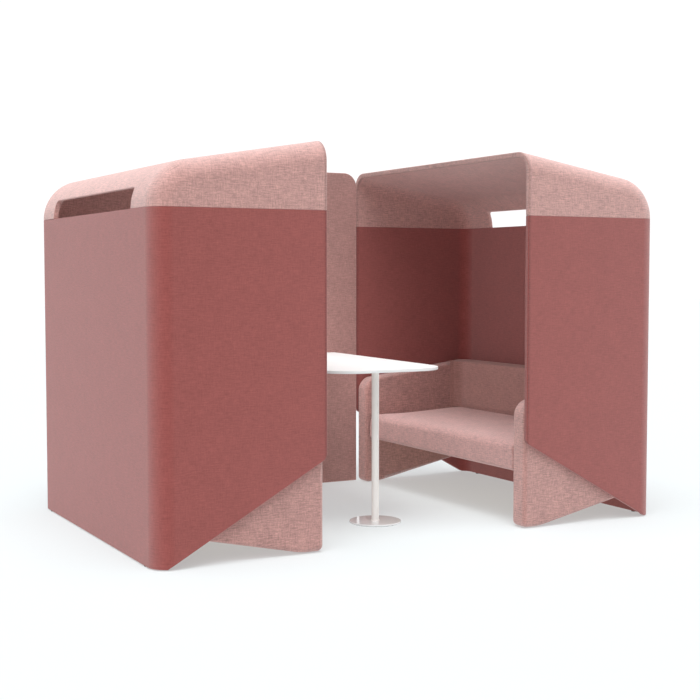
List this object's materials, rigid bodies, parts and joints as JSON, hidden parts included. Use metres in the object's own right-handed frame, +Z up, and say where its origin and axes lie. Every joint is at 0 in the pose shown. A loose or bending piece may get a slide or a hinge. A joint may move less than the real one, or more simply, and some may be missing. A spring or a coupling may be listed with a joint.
{
  "type": "hooded meeting booth",
  "caption": "Hooded upholstered meeting booth: facing sofa pods with sloping roofs and slanted walls, a linking screen on one side and a pedestal table between the seats.",
  "frame": {"origin": "on the floor under the middle of the booth's bounding box", "axes": "+X along the length from the left pod to the right pod, +Y from the open near side to the linking screen, +Z up"},
  "size_m": [2.6, 1.674, 1.768],
  "materials": {
    "shell_fabric": "woven upholstery",
    "hood_fabric": "woven upholstery",
    "leg_fabric": "woven upholstery",
    "seat_fabric": "woven upholstery",
    "lining_fabric": "woven upholstery",
    "link_fabric": "woven upholstery",
    "timber": "birch plywood, unfinished",
    "steel": "zinc plated",
    "glide_plastic": "moulded",
    "table_laminate": "white laminate",
    "table_paint": "white powder coat",
    "polished_base": "polished",
    "pad_rubber": "matt"
  },
  "bodies": {
    "booth": {"right_back_screen": "shell_fabric", "right_hood": "hood_fabric", "right_near_side_screen": "shell_fabric", "right_near_leg_panel": "leg_fabric", "right_near_seat_rail": "timber", "right_far_side_screen": "shell_fabric", "right_far_leg_panel": "leg_fabric", "right_far_seat_rail": "timber", "right_seat_cushion": "seat_fabric", "right_backrest_cushion": "lining_fabric", "right_seat_board": "timber", "right_backrest_board": "timber", "right_rail_screws": "steel", "right_hood_dowels": "timber", "right_glide_inserts": "steel", "right_link_plates": "steel", "left_back_screen": "shell_fabric", "left_hood": "hood_fabric", "left_near_side_screen": "shell_fabric", "left_near_leg_panel": "leg_fabric", "left_near_seat_rail": "timber", "left_far_side_screen": "shell_fabric", "left_far_leg_panel": "leg_fabric", "left_far_seat_rail": "timber", "left_seat_cushion": "seat_fabric", "left_backrest_cushion": "lining_fabric", "left_seat_board": "timber", "left_backrest_board": "timber", "left_rail_screws": "steel", "left_hood_dowels": "timber", "left_glide_inserts": "steel", "left_link_plates": "steel", "link_screen": "link_fabric", "link_screws": "steel", "table_top": "table_laminate", "table_mounting_plate": "table_paint", "table_leg": "table_paint", "table_base": "polished_base", "table_base_pad": "pad_rubber", "table_plate_screws": "steel", "table_wall_bracket": "table_paint", "table_bracket_screws": "steel"},
    "right_front_near_glide": {"right_front_near_glide": "glide_plastic"},
    "right_rear_near_glide": {"right_rear_near_glide": "glide_plastic"},
    "right_front_far_glide": {"right_front_far_glide": "glide_plastic"},
    "right_rear_far_glide": {"right_rear_far_glide": "glide_plastic"},
    "left_front_near_glide": {"left_front_near_glide": "glide_plastic"},
    "left_rear_near_glide": {"left_rear_near_glide": "glide_plastic"},
    "left_front_far_glide": {"left_front_far_glide": "glide_plastic"},
    "left_rear_far_glide": {"left_rear_far_glide": "glide_plastic"}
  },
  "joints": [
    {"name": "right_front_near_glide_turn", "type": "hinge", "parent": "booth", "child": "right_front_near_glide", "pos_m": [0.575, -0.7635, 0], "axis": [0, 0, 1], "range_deg": [-180, 180]},
    {"name": "right_rear_near_glide_turn", "type": "hinge", "parent": "booth", "child": "right_rear_near_glide", "pos_m": [1.288, -0.7, 0], "axis": [0, 0, 1], "range_deg": [-180, 180]},
    {"name": "right_front_far_glide_turn", "type": "hinge", "parent": "booth", "child": "right_front_far_glide", "pos_m": [0.575, 0.7635, 0], "axis": [0, 0, 1], "range_deg": [-180, 180]},
    {"name": "right_rear_far_glide_turn", "type": "hinge", "parent": "booth", "child": "right_rear_far_glide", "pos_m": [1.288, 0.7, 0], "axis": [0, 0, 1], "range_deg": [-180, 180]},
    {"name": "left_front_near_glide_turn", "type": "hinge", "parent": "booth", "child": "left_front_near_glide", "pos_m": [-0.575, -0.7635, 0], "axis": [0, 0, 1], "range_deg": [-180, 180]},
    {"name": "left_rear_near_glide_turn", "type": "hinge", "parent": "booth", "child": "left_rear_near_glide", "pos_m": [-1.288, -0.7, 0], "axis": [0, 0, 1], "range_deg": [-180, 180]},
    {"name": "left_front_far_glide_turn", "type": "hinge", "parent": "booth", "child": "left_front_far_glide", "pos_m": [-0.575, 0.7635, 0], "axis": [0, 0, 1], "range_deg": [-180, 180]},
    {"name": "left_rear_far_glide_turn", "type": "hinge", "parent": "booth", "child": "left_rear_far_glide", "pos_m": [-1.288, 0.7, 0], "axis": [0, 0, 1], "range_deg": [-180, 180]}
  ]
}
